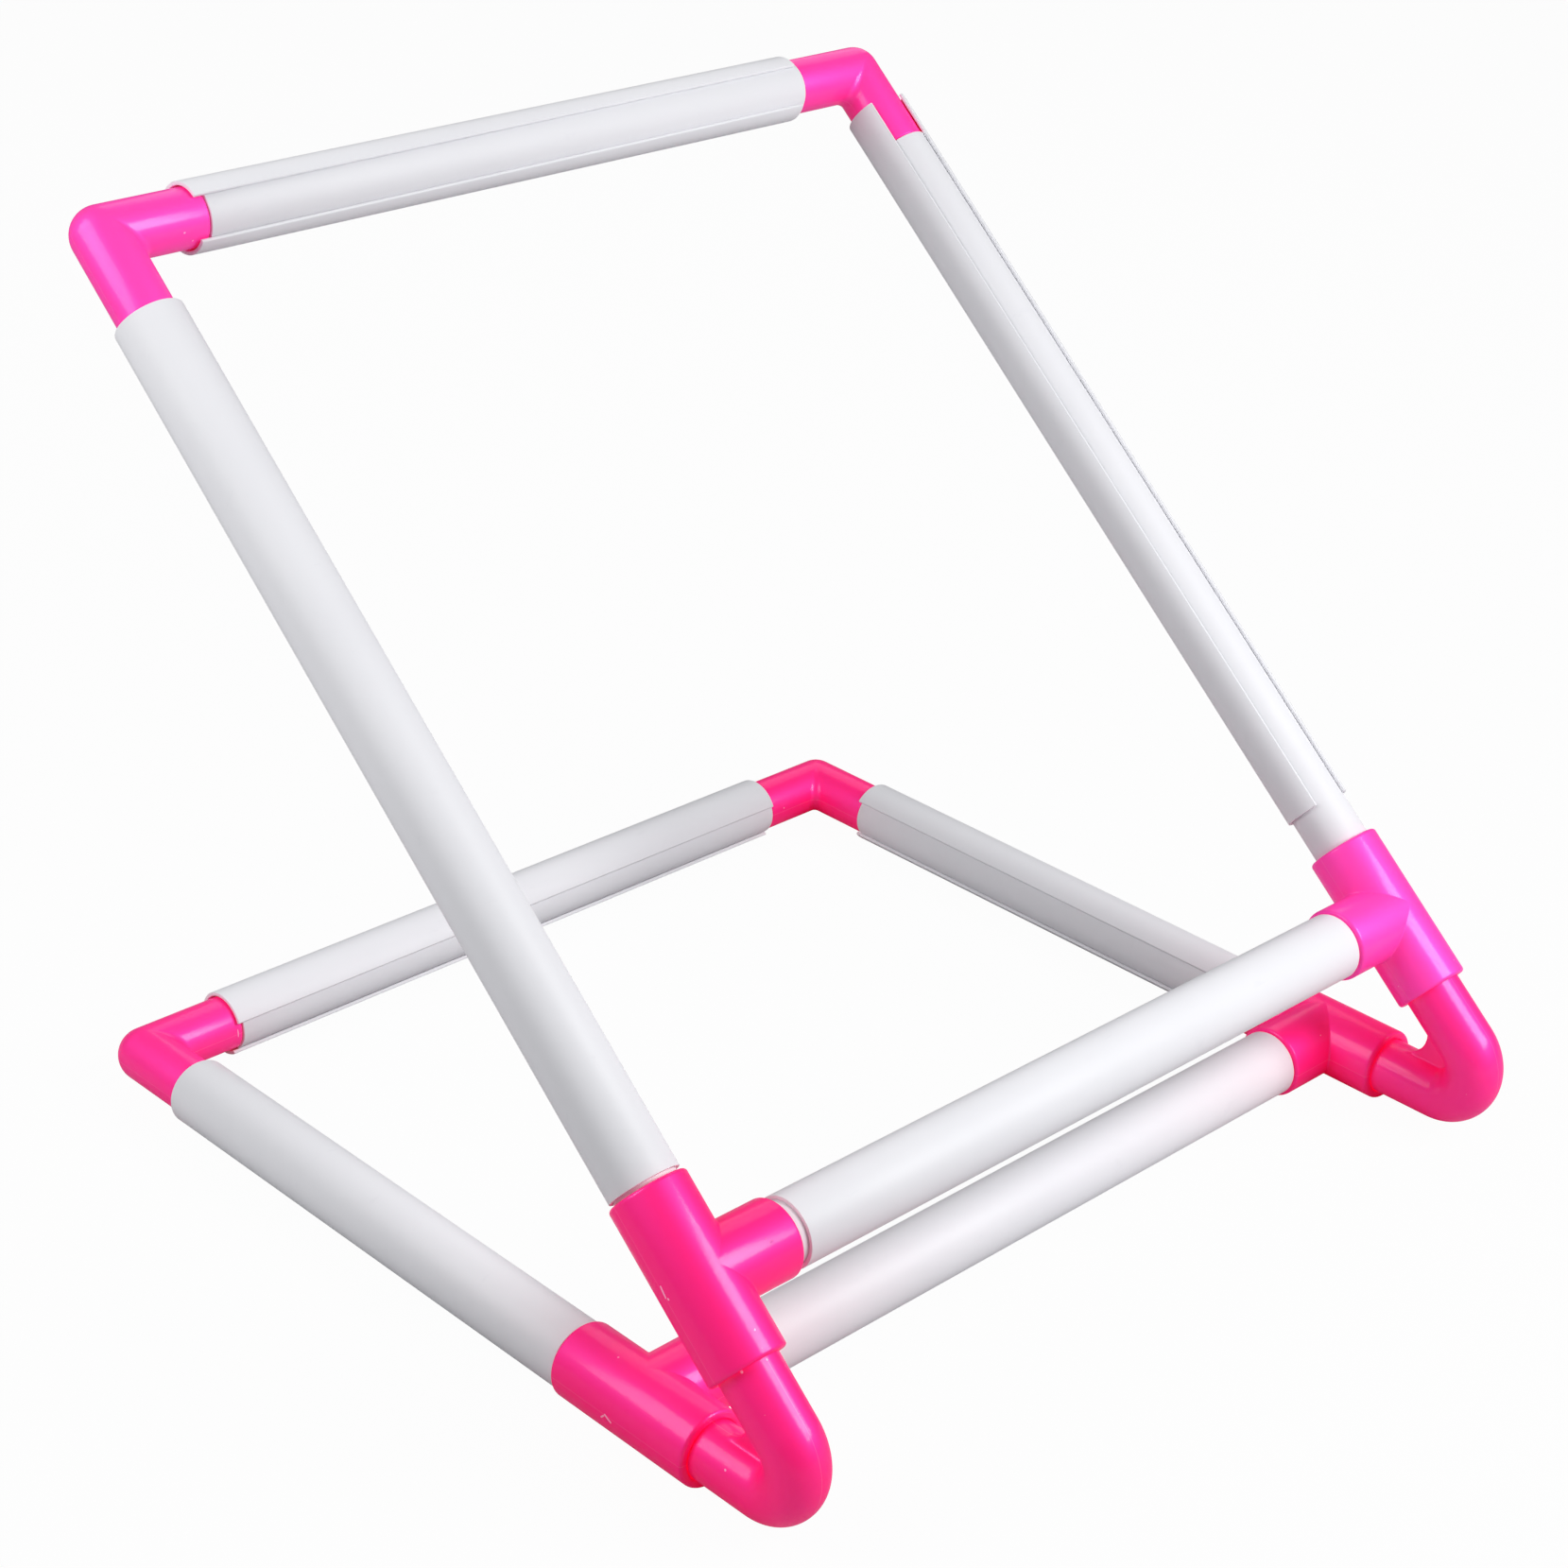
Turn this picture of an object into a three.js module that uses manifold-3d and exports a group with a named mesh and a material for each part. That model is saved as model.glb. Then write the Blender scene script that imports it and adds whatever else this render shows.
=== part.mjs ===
// Clip embroidery frame on a slanted stand.
// Two rectangular frames of plastic tube share a pair of hairpin connectors at the front: one lies
// on the table and the other rises over it as the working frame. Moulded elbows plug into the tubes
// at the far corners, tees socket over them near the front, and a springy clip grips each tube.

import * as THREE from 'three';
import { mergeVertices } from 'three/addons/utils/BufferGeometryUtils.js';
import Module from 'manifold-3d';

const wasm = await Module();
wasm.setup();

// Overall sizes in millimetres, from tube axis to tube axis
const frameWidth = 318;
const slopeLength = 442;
const baseDepth = 339;
const railSetback = 84.3;
const slopeAngle = THREE.MathUtils.degToRad(40.6);

// Tubes
const tubeRadius = 10;
const tubeWall = 2;

// Clearances
const clipClearance = 0.3;
const spigotClearance = 0.3;
const socketClearance = 0.3;
const seatGap = 0.3;

// Elbows: two arms, a shoulder for each tube end and a spigot inside the tube
const elbowRadius = 9.5;
const elbowArm = 33;
const elbowFillet = 3;
const elbowRim = 0.6;
const spigotLength = 24;
const spigotWall = 2;
const spigotChamfer = 1.2;

// Tees: sockets over the tubes, with stops around an open passage
const teeWall = 2.2;
const teeRunLength = 57;
const teeBranchReach = 30;
const teeStopOffset = 9;
const teeBranchStop = 11.5;
const teeRim = 1.2;
const mouthChamfer = 0.6;

// Hairpin connectors, each with a web between its arms that ends in a hollow arc
const hairpinRadius = 9.7;
const hairpinWall = 2.4;
const hairpinBend = 12.8;
const webThickness = 3;
const webEndRadius = 8.8;

// Clips: a springy C section with rounded lips
const clipWall = 1.1;
const clipOpening = THREE.MathUtils.degToRad(76);

// Where each clip sits between its end fittings. A gap leaves tube bare, and a negative one laps
// over the fitting. The mouth is the direction that the opening faces, and the twist is how far it
// turns from the start of the clip to its end.
const degrees = THREE.MathUtils.degToRad;
const clipSeats = {
  top_clip: { startGap: -3.7, endGap: 2, mouth: degrees(126), twist: degrees(-8.5) },
  bottom_clip: { startGap: 3.6, endGap: 0.5, mouth: degrees(280), twist: 0 },
  left_clip: { startGap: 1.2, endGap: -2, mouth: degrees(278), twist: 0 },
  right_clip: { startGap: 15.7, endGap: -16, mouth: degrees(98), twist: 0 },
  rear_base_clip: { startGap: -2, endGap: 0.5, mouth: degrees(195), twist: 0 },
  front_base_clip: { startGap: 4, endGap: 0.4, mouth: degrees(300), twist: 0 },
  left_base_clip: { startGap: 0.4, endGap: -2, mouth: degrees(300), twist: 0 },
  right_base_clip: { startGap: 0.5, endGap: -0.5, mouth: degrees(178), twist: 0 },
};

// Fineness of the curved faces
const sides = 20;
const clipFacets = 18;
const lipFacets = 3;
const rimFacets = 2;
const filletSteps = 5;
const hairpinSteps = 10;
const twistSteps = 4;

// One overrun for every cut that passes a face
const overrun = 1;

// Sizes that follow from the ones above
const tubeBore = tubeRadius - tubeWall;
const clipInner = tubeRadius + clipClearance;
const clipOuter = clipInner + clipWall;
const teeRadius = tubeRadius + socketClearance + teeWall;
const spigotRadius = tubeBore - spigotClearance;
const spigotBore = spigotRadius - spigotWall;
const hairpinLead = hairpinBend / Math.tan(slopeAngle / 2);
const hairpinFront = hairpinLead - hairpinBend - hairpinRadius;
const depthCentre = (hairpinFront + baseDepth + clipOuter) / 2;

// A many-sided section has its flats, not its corners, on the true radius
const facetAngle = (2 * Math.PI) / sides;
const cornerRatio = 1 / Math.cos(facetAngle / 2);

// Finishes
const whitePlastic = new THREE.MeshStandardMaterial({ color: 0xebebf1, roughness: 0.42, metalness: 0 });
const clipPlastic = new THREE.MeshStandardMaterial({ color: 0xf1f1f6, roughness: 0.36, metalness: 0 });
const pinkPlastic = new THREE.MeshStandardMaterial({ color: 0xf5218f, roughness: 0.3, metalness: 0 });

// Solids: a geometry becomes a closed solid, and bodies less tools become a geometry again

function solidOf(geometry) {
  const bare = geometry.clone();
  bare.deleteAttribute('normal');
  bare.deleteAttribute('uv');
  const welded = mergeVertices(bare);
  const corners = welded.index.array;
  const kept = [];
  for (let i = 0; i < corners.length; i += 3) {
    const [a, b, c] = [corners[i], corners[i + 1], corners[i + 2]];
    if (a !== b && b !== c && c !== a) {
      kept.push(a, b, c);
    }
  }
  return new wasm.Manifold(new wasm.Mesh({
    numProp: 3,
    vertProperties: new Float32Array(welded.attributes.position.array),
    triVerts: new Uint32Array(kept),
  }));
}

function joined(geometries) {
  const solids = geometries.map(solidOf);
  return solids.reduce((whole, solid) => whole.add(solid));
}

function carved(bodies, tools) {
  const { vertProperties, triVerts } = joined(bodies).subtract(joined(tools)).getMesh();
  const geometry = new THREE.BufferGeometry();
  geometry.setAttribute('position', new THREE.BufferAttribute(vertProperties, 3));
  geometry.setIndex(new THREE.BufferAttribute(triVerts, 1));
  geometry.computeVertexNormals();
  return geometry;
}

// Round forms turned about the Y axis from pairs of radius and place along the axis

function turned(profile) {
  const points = profile.map(([radius, along]) => new THREE.Vector2(radius * cornerRatio, along));
  return new THREE.LatheGeometry(points, sides, facetAngle / 2);
}

function bar(radius, start, end) {
  return turned([[0, start], [radius, start], [radius, end], [0, end]]);
}

function pipe(outer, inner, start, end) {
  return turned([[inner, start], [outer, start], [outer, end], [inner, end], [inner, start]]);
}

function roundedRim(radius, end, rim, outward) {
  const points = [];
  for (let i = 0; i <= rimFacets; i += 1) {
    const angle = (i / rimFacets) * (Math.PI / 2);
    points.push([radius - rim * (1 - Math.cos(angle)), end - outward * rim * (1 - Math.sin(angle))]);
  }
  return points;
}

function socket(radius, stop, mouth) {
  const flare = radius + mouthChamfer + overrun;
  return turned([[0, stop], [radius, stop], [radius, mouth - mouthChamfer], [flare, mouth + overrun],
    [0, mouth + overrun]]);
}

// A ball whose meridian is the same many-sided section, so that it meets two bars at a corner

function ball(radius) {
  const profile = [new THREE.Vector2(0, -radius)];
  for (let i = 0; i < sides / 2; i += 1) {
    const angle = (i + 0.5) * facetAngle - Math.PI / 2;
    const reach = radius * cornerRatio;
    profile.push(new THREE.Vector2(reach * Math.cos(angle), reach * Math.sin(angle)));
  }
  profile.push(new THREE.Vector2(0, radius));
  return new THREE.LatheGeometry(profile, sides).rotateX(Math.PI / 2);
}

// A path in the XY plane that arrives along +X, turns left on an arc and leaves. Each straight
// lead takes one step, so that the steps are spent on the arc.

class BentPath extends THREE.Curve {
  constructor(lead, radius, turn, arcSteps) {
    super();
    this.lead = lead;
    this.radius = radius;
    this.turn = turn;
    this.arcSteps = arcSteps;
    this.leadSteps = lead > 0 ? 1 : 0;
    this.steps = arcSteps + 2 * this.leadSteps;
  }

  getUtoTmapping(u) {
    return u;
  }

  getPoint(t, target = new THREE.Vector3()) {
    const station = t * this.steps - this.leadSteps;
    const onArc = THREE.MathUtils.clamp(station, 0, this.arcSteps);
    const angle = (onArc / this.arcSteps) * this.turn;
    const beyond = (station - onArc) * this.lead;
    const x = this.radius * Math.sin(angle) + beyond * Math.cos(angle);
    const y = this.radius * (1 - Math.cos(angle)) + beyond * Math.sin(angle);
    return target.set(x, y, 0);
  }
}

function swept(radius, path) {
  const outline = [];
  for (let i = 0; i < sides; i += 1) {
    const angle = (i + 0.5) * facetAngle;
    const reach = radius * cornerRatio;
    outline.push(new THREE.Vector2(reach * Math.cos(angle), reach * Math.sin(angle)));
  }
  return new THREE.ExtrudeGeometry(new THREE.Shape(outline), { steps: path.steps, extrudePath: path });
}

// The blend in the inner corner between an arm along +X and one along +Y

function innerBlend(radius, fillet) {
  const bend = radius + fillet;
  const path = new BentPath(0, bend, Math.PI / 2, filletSteps);
  return swept(radius, path).rotateZ(-Math.PI / 2).translate(0, bend, 0);
}

// Elbow: arms along +X and +Y, hollow, with a spigot beyond each shoulder

function elbowGeometry() {
  const tip = elbowArm + spigotLength;
  const arm = turned([[0, 0], [elbowRadius, 0], ...roundedRim(elbowRadius, elbowArm, elbowRim, 1),
    [0, elbowArm]]);
  const spigot = turned([[0, 0], [spigotRadius, 0], [spigotRadius, tip - spigotChamfer],
    [spigotRadius - spigotChamfer, tip], [0, tip]]);
  const bore = bar(spigotBore, 0, tip + overrun);
  const alongX = (geometry) => geometry.clone().rotateZ(-Math.PI / 2);
  return carved(
    [arm, alongX(arm), ball(elbowRadius), innerBlend(elbowRadius, elbowFillet), spigot, alongX(spigot)],
    [bore, alongX(bore), ball(spigotBore)],
  );
}

// Tee: the run lies along Y with the hairpin's socket at -Y and the tube's at +Y, and the branch
// reaches along +X

function teeGeometry() {
  const half = teeRunLength / 2;
  const run = turned([[0, -half], ...roundedRim(teeRadius, -half, teeRim, -1).reverse(),
    ...roundedRim(teeRadius, half, teeRim, 1), [0, half]]);
  const branch = turned([[0, 0], [teeRadius, 0], ...roundedRim(teeRadius, teeBranchReach, teeRim, 1),
    [0, teeBranchReach]]).rotateZ(-Math.PI / 2);
  const tubeSocket = socket(tubeRadius + socketClearance, teeStopOffset, half);
  const hairpinSocket = socket(hairpinRadius + socketClearance, teeStopOffset, half).rotateX(Math.PI);
  const branchSocket = socket(tubeRadius + socketClearance, teeBranchStop, teeBranchReach);
  const passage = bar(tubeBore, -half, half);
  const branchPassage = bar(tubeBore, 0, teeBranchReach);
  return carved(
    [run, branch],
    [tubeSocket, hairpinSocket, passage, branchSocket.rotateZ(-Math.PI / 2), branchPassage.rotateZ(-Math.PI / 2)],
  );
}

// The web between a hairpin's arms: a plate from the bend's axis to the arc that touches both arms

function webGeometry(turn) {
  const offset = hairpinRadius + webEndRadius;
  const reach = offset / Math.tan(slopeAngle / 2) - hairpinLead;
  const path = new BentPath(reach, hairpinBend, turn, hairpinSteps);
  const points = [];
  for (let i = 0; i <= path.steps; i += 1) {
    points.push(path.getPoint(i / path.steps));
  }
  const shape = new THREE.Shape().setFromPoints(points);
  shape.absarc(-reach, offset, webEndRadius, turn - Math.PI / 2, -Math.PI / 2, true);
  const plate = { depth: webThickness, curveSegments: filletSteps, bevelEnabled: false };
  return new THREE.ExtrudeGeometry(shape, plate).translate(0, 0, -webThickness / 2);
}

// Hairpin: a bent tube from the base tee's socket, round the front corner and up the slope

function hairpinGeometry() {
  const lead = railSetback - teeStopOffset - seatGap - hairpinLead;
  const turn = Math.PI - slopeAngle;
  const outer = swept(hairpinRadius, new BentPath(lead, hairpinBend, turn, hairpinSteps));
  const bore = swept(hairpinRadius - hairpinWall, new BentPath(lead + overrun, hairpinBend, turn, hairpinSteps));
  return carved([outer, webGeometry(turn)], [bore]);
}

// Clip: a C section along +Y that starts at the origin with its mouth towards +X, and turns about
// its axis by the end turn on its way

function clipGeometry(length, endTurn) {
  const shape = new THREE.Shape();
  const points = [];
  const wrap = 2 * Math.PI - clipOpening;
  const step = wrap / clipFacets;
  const ratio = 1 / Math.cos(step / 2);
  const lipRadius = clipWall / 2;
  const place = (radius, angle) => new THREE.Vector2(radius * Math.cos(angle), radius * Math.sin(angle));
  for (let i = 0; i <= clipFacets; i += 1) {
    points.push(place(clipOuter * ratio, clipOpening / 2 + i * step));
  }
  for (let i = 1; i < lipFacets; i += 1) {
    const turn = (i / lipFacets) * Math.PI;
    const radius = (clipInner + lipRadius) * ratio + lipRadius * Math.cos(turn);
    points.push(place(radius, clipOpening / 2 + wrap + (lipRadius * Math.sin(turn)) / clipInner));
  }
  for (let i = clipFacets; i >= 0; i -= 1) {
    points.push(place(clipInner * ratio, clipOpening / 2 + i * step));
  }
  for (let i = 1; i < lipFacets; i += 1) {
    const turn = (i / lipFacets) * Math.PI;
    const radius = (clipInner + lipRadius) * ratio - lipRadius * Math.cos(turn);
    points.push(place(radius, clipOpening / 2 - (lipRadius * Math.sin(turn)) / clipInner));
  }
  shape.setFromPoints(points);
  const steps = endTurn === 0 ? 1 : twistSteps;
  const geometry = new THREE.ExtrudeGeometry(shape, { depth: length, steps, bevelEnabled: false });
  geometry.rotateX(-Math.PI / 2);
  const position = geometry.attributes.position;
  const point = new THREE.Vector3();
  const axis = new THREE.Vector3(0, 1, 0);
  for (let i = 0; i < position.count; i += 1) {
    point.fromBufferAttribute(position, i);
    point.applyAxisAngle(axis, endTurn * (point.y / length));
    position.setXYZ(i, point.x, point.y, point.z);
  }
  return geometry;
}

// Placing: sides run along the frame's Y, and rails across it along X

function named(name, geometry, material) {
  const mesh = new THREE.Mesh(geometry, material);
  mesh.name = name;
  return mesh;
}

function railGroup(along) {
  const group = new THREE.Group();
  group.position.y = along;
  group.rotation.z = -Math.PI / 2;
  return group;
}

function sideGroup(across) {
  const group = new THREE.Group();
  group.position.x = across;
  return group;
}

function addTube(group, name, start, end) {
  group.add(named(name, pipe(tubeRadius, tubeBore, start + seatGap, end - seatGap), whitePlastic.clone()));
}

function addClip(group, name, start, end, mouthTurn) {
  const seat = clipSeats[name];
  const length = end - seat.endGap - start - seat.startGap;
  const endTurn = mouthTurn(seat.mouth + seat.twist) - mouthTurn(seat.mouth);
  const clip = named(name, clipGeometry(length, endTurn), clipPlastic.clone());
  clip.position.y = start + seat.startGap;
  clip.rotation.y = mouthTurn(seat.mouth);
  group.add(clip);
}

// One rectangular frame, with its front corner line on the X axis. Its tubes, clips and fittings
// are named by the places they take.

function tubeFrame(depth, names) {
  const frame = new THREE.Group();
  const teeEnd = railSetback + teeRunLength / 2;
  const shoulder = depth - elbowArm;

  const nearRail = railGroup(railSetback);
  addTube(nearRail, names.nearTube, teeBranchStop, frameWidth - teeBranchStop);
  addClip(nearRail, names.nearClip, teeBranchReach, frameWidth - teeBranchReach, (mouth) => mouth - Math.PI);
  const farRail = railGroup(depth);
  addTube(farRail, names.farTube, elbowArm, frameWidth - elbowArm);
  addClip(farRail, names.farClip, elbowArm, frameWidth - elbowArm, (mouth) => mouth - Math.PI);
  frame.add(nearRail, farRail);

  const sidesOfFrame = [
    { across: 0, tube: names.leftTube, clip: names.leftClip, elbow: names.leftElbow, tee: names.leftTee },
    { across: frameWidth, tube: names.rightTube, clip: names.rightClip, elbow: names.rightElbow, tee: names.rightTee },
  ];
  for (const side of sidesOfFrame) {
    const group = sideGroup(side.across);
    const onLeft = side.across === 0;
    addTube(group, side.tube, railSetback + teeStopOffset, shoulder);
    addClip(group, side.clip, teeEnd, shoulder, (mouth) => -mouth);
    const elbow = named(side.elbow, elbowGeometry(), pinkPlastic.clone());
    elbow.position.y = depth;
    elbow.rotation.z = onLeft ? -Math.PI / 2 : Math.PI;
    const tee = named(side.tee, teeGeometry(), pinkPlastic.clone());
    tee.position.y = railSetback;
    tee.rotation.y = onLeft ? 0 : Math.PI;
    group.add(elbow, tee);
    frame.add(group);
  }
  return frame;
}

// The whole object: the base frame, the working frame raised to its slope, and the two hairpins

const group = new THREE.Group();
group.position.set(-frameWidth / 2, -depthCentre, teeRadius);

const baseFrame = tubeFrame(baseDepth, {
  nearTube: 'front_base_tube',
  nearClip: 'front_base_clip',
  farTube: 'rear_base_tube',
  farClip: 'rear_base_clip',
  leftTube: 'left_base_tube',
  leftClip: 'left_base_clip',
  leftElbow: 'rear_left_elbow',
  leftTee: 'base_left_tee',
  rightTube: 'right_base_tube',
  rightClip: 'right_base_clip',
  rightElbow: 'rear_right_elbow',
  rightTee: 'base_right_tee',
});

const workingFrame = tubeFrame(slopeLength, {
  nearTube: 'bottom_tube',
  nearClip: 'bottom_clip',
  farTube: 'top_tube',
  farClip: 'top_clip',
  leftTube: 'left_side_tube',
  leftClip: 'left_clip',
  leftElbow: 'top_left_elbow',
  leftTee: 'upper_left_tee',
  rightTube: 'right_side_tube',
  rightClip: 'right_clip',
  rightElbow: 'top_right_elbow',
  rightTee: 'upper_right_tee',
});
workingFrame.rotation.x = slopeAngle;

group.add(baseFrame, workingFrame);

for (const [name, across] of [['left_hairpin', 0], ['right_hairpin', frameWidth]]) {
  const hairpin = named(name, hairpinGeometry(), pinkPlastic.clone());
  hairpin.position.set(across, hairpinLead, 0);
  hairpin.rotation.set(Math.PI / 2, -Math.PI / 2, 0);
  group.add(hairpin);
}

export default group;
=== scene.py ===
"""Clip embroidery frame on its slanted stand: fine meshes, finishes, studio light and camera.

Two rectangular frames of white plastic tube share a pair of pink hairpin connectors at the front.
Elbows plug into the tubes at the far corners, tees socket over them near the front, and a springy
C-shaped clip grips each tube. Sizes are written in millimetres times MM, and places are those of
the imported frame: +X to the right, +Y to the rear, +Z up, with the table at height zero.
"""

import logging
import math
from collections.abc import Callable, Iterator
from contextlib import contextmanager
from dataclasses import dataclass, field
from enum import Enum

import bmesh
import bpy
from mathutils import Matrix, Vector


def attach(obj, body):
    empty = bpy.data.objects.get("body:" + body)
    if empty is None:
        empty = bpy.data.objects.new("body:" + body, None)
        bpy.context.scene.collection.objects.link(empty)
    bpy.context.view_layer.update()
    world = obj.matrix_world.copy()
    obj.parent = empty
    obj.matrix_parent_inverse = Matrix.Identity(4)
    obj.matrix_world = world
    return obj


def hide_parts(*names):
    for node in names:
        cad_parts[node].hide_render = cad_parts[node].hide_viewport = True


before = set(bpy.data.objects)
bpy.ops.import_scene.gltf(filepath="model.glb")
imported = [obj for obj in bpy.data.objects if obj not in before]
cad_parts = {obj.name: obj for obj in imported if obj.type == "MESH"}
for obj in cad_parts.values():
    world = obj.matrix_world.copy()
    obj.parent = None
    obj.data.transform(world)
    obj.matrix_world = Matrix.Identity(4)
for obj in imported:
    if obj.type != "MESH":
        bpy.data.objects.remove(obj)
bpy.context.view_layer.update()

Colour = tuple[float, float, float, float]
Triple = tuple[float, float, float]
Span = tuple[float, float]
Pair = tuple[str, str]
Profile = list[tuple[float, float]]

MM = 0.001
SAME_PLACE = 0.001 * MM
SAME_LINE = 0.01 * MM
QUARTER_TURN = math.pi / 2
SWAP_X_AND_Y = Matrix(((0, 1, 0, 0), (1, 0, 0, 0), (0, 0, 1, 0), (0, 0, 0, 1)))
WHITE: Colour = (1, 1, 1, 1)
STAND_MIDDLE: Triple = (0.0, 0.02, 0.13)
log = logging.getLogger("embroidery_frame")


class Axis(Enum):
    """The way a tube lies in its rectangular frame."""

    RAIL = "across the frame"
    SIDE = "up the frame"


class FarHalf(Enum):
    """How an arm's skin ends on the side away from the next arm, where the arms cross."""

    BALL = "on the ball of an elbow's outer corner"
    THROUGH = "straight, as part of a tee's run"
    BLEND = "on a second blend, as a tee's branch"


class Slot(Enum):
    """The record's material slots."""

    TUBE = "white_tube"
    CLIP = "white_clip"
    FITTING = "pink_fitting"


# Modelling by hand: small helpers round Blender's operators


def deselect_everything() -> None:
    """Leaves nothing selected, because an operator acts on all that is."""
    bpy.ops.object.select_all(action="DESELECT")


def make_active(piece: bpy.types.Object) -> None:
    """Selects one piece alone and makes it the active one."""
    deselect_everything()
    piece.select_set(True)
    bpy.context.view_layer.objects.active = piece


@contextmanager
def editing(piece: bpy.types.Object) -> Iterator[None]:
    """Opens a piece in edit mode with all of it selected, and closes it again.

    Args:
        piece: the piece to open.
    """
    make_active(piece)
    bpy.ops.object.mode_set(mode="EDIT")
    bpy.ops.mesh.select_all(action="SELECT")
    yield
    bpy.ops.object.mode_set(mode="OBJECT")


def pick(piece: bpy.types.Object, kind: str, test: Callable[..., bool]) -> None:
    """Selects an open piece's elements by a test of their place.

    Args:
        piece: the piece that is open in edit mode.
        kind: VERT, EDGE or FACE.
        test: takes an element and says whether it is selected.
    """
    bpy.ops.mesh.select_mode(type=kind)
    bpy.ops.mesh.select_all(action="DESELECT")
    shape = bmesh.from_edit_mesh(piece.data)
    elements = {"VERT": shape.verts, "EDGE": shape.edges, "FACE": shape.faces}[kind]
    for element in elements:
        if test(element):
            element.select_set(True)
    bmesh.update_edit_mesh(piece.data)


def push(x: float = 0.0, y: float = 0.0) -> None:
    """Extrudes what is selected and moves it."""
    bpy.ops.mesh.extrude_region_move(TRANSFORM_OT_translate={"value": (x, y, 0.0)})


def push_through(profile: Profile) -> None:
    """Extrudes the selected ring along Y, ring by ring.

    Args:
        profile: pairs of radius and place along the axis, and the first is the ring's own.
    """
    for (old_radius, old_along), (new_radius, new_along) in zip(profile, profile[1:]):
        push(y=new_along - old_along)
        ratio = new_radius / old_radius
        bpy.ops.transform.resize(value=(ratio, 1, ratio), center_override=(0, new_along, 0))


def add_ring(radius: float, facets: int, along: float = 0.0) -> bpy.types.Object:
    """Adds an open circle round the Y axis.

    Args:
        radius: the ring's radius.
        facets: how many edges it has.
        along: its place on the Y axis.

    Returns:
        The ring as a new object whose place is in its mesh.
    """
    deselect_everything()
    bpy.ops.mesh.primitive_circle_add(
        vertices=facets, radius=radius, location=(0, along, 0), rotation=(QUARTER_TURN, 0, 0)
    )
    ring = bpy.context.object
    bpy.ops.object.transform_apply(location=True, rotation=True, scale=True)
    return ring


def face_out(piece: bpy.types.Object, capped: bool = False) -> None:
    """Welds a piece's seams and points its faces outwards.

    Args:
        piece: the piece to change.
        capped: whether its open ends are closed first.
    """
    with editing(piece):
        bpy.ops.mesh.remove_doubles(threshold=SAME_PLACE)
        if capped:
            bpy.ops.mesh.fill_holes(sides=0)
        bpy.ops.mesh.select_all(action="SELECT")
        bpy.ops.mesh.normals_make_consistent(inside=False)


def finish_with(piece: bpy.types.Object, kind: str, **settings: object) -> None:
    """Adds a modifier to a piece and applies it.

    Args:
        piece: the piece to change.
        kind: the modifier's type.
        settings: the modifier's own settings.
    """
    make_active(piece)
    modifier = piece.modifiers.new(kind.title(), kind)
    for name, value in settings.items():
        setattr(modifier, name, value)
    bpy.ops.object.modifier_apply(modifier=modifier.name)


def joined(pieces: list[bpy.types.Object]) -> bpy.types.Object:
    """Joins pieces into one.

    Args:
        pieces: the pieces, of which the first takes in the others.

    Returns:
        The first piece.
    """
    deselect_everything()
    for piece in pieces:
        piece.select_set(True)
    bpy.context.view_layer.objects.active = pieces[0]
    bpy.ops.object.join()
    return pieces[0]


def cut(piece: bpy.types.Object, tool: bpy.types.Object) -> None:
    """Cuts a closed tool out of a piece and deletes the tool."""
    finish_with(piece, "BOOLEAN", operation="DIFFERENCE", solver="EXACT", object=tool)
    discard(tool)


def discard(piece: bpy.types.Object) -> None:
    """Deletes a piece and its mesh."""
    mesh = piece.data
    bpy.data.objects.remove(piece)
    bpy.data.meshes.remove(mesh)


def turned(piece: bpy.types.Object, angle: float, axis: str) -> bpy.types.Object:
    """Turns a whole piece's mesh about a main axis through the origin and returns the piece."""
    piece.data.transform(Matrix.Rotation(angle, 4, axis))
    return piece


def along_x(piece: bpy.types.Object) -> bpy.types.Object:
    """Turns a piece that was made along +Y to lie along +X and returns it."""
    return turned(piece, -QUARTER_TURN, "Z")


def smooth(piece: bpy.types.Object, sharpest: float = 35.0) -> None:
    """Shades a piece smooth except where its faces meet at more than an angle in degrees."""
    make_active(piece)
    bpy.ops.object.shade_smooth_by_angle(angle=math.radians(sharpest), keep_sharp_edges=False)


def lathed(profile: Profile, facets: int) -> bpy.types.Object:
    """Makes a closed round bar about the Y axis, ring by ring.

    Args:
        profile: pairs of radius and place along the axis.
        facets: how many sides the bar has.

    Returns:
        The bar.
    """
    radius, start = profile[0]
    piece = add_ring(radius, facets, start)
    with editing(piece):
        push_through(profile)
    face_out(piece, capped=True)
    return piece


# Pieces


@dataclass(frozen=True)
class StandSizes:
    """The stand's driving sizes, from tube axis to tube axis."""

    width: float = 318 * MM
    slope_length: float = 442 * MM
    base_depth: float = 339 * MM
    rail_setback: float = 84.3 * MM
    slope: float = math.radians(40.6)
    seat_gap: float = 0.3 * MM


@dataclass(frozen=True)
class Tube:
    """A cut length of plain plastic tube."""

    radius: float = 10 * MM
    wall: float = 2 * MM
    edge: float = 0.25 * MM
    edge_angle: float = math.radians(60)
    facets: int = 120
    edge_facets: int = 2

    def build(self, length: float) -> bpy.types.Object:
        """Makes a tube along +Y from the origin.

        Args:
            length: the tube's length.

        Returns:
            The tube, with its cut ends slightly rounded.
        """
        piece = add_ring(self.radius, self.facets)
        with editing(piece):
            push(y=length)
        face_out(piece)
        finish_with(piece, "SOLIDIFY", thickness=self.wall, offset=-1, use_even_offset=True)
        finish_with(
            piece, "BEVEL", width=self.edge, segments=self.edge_facets, limit_method="ANGLE",
            angle_limit=self.edge_angle,
        )
        smooth(piece)
        return piece


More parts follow.
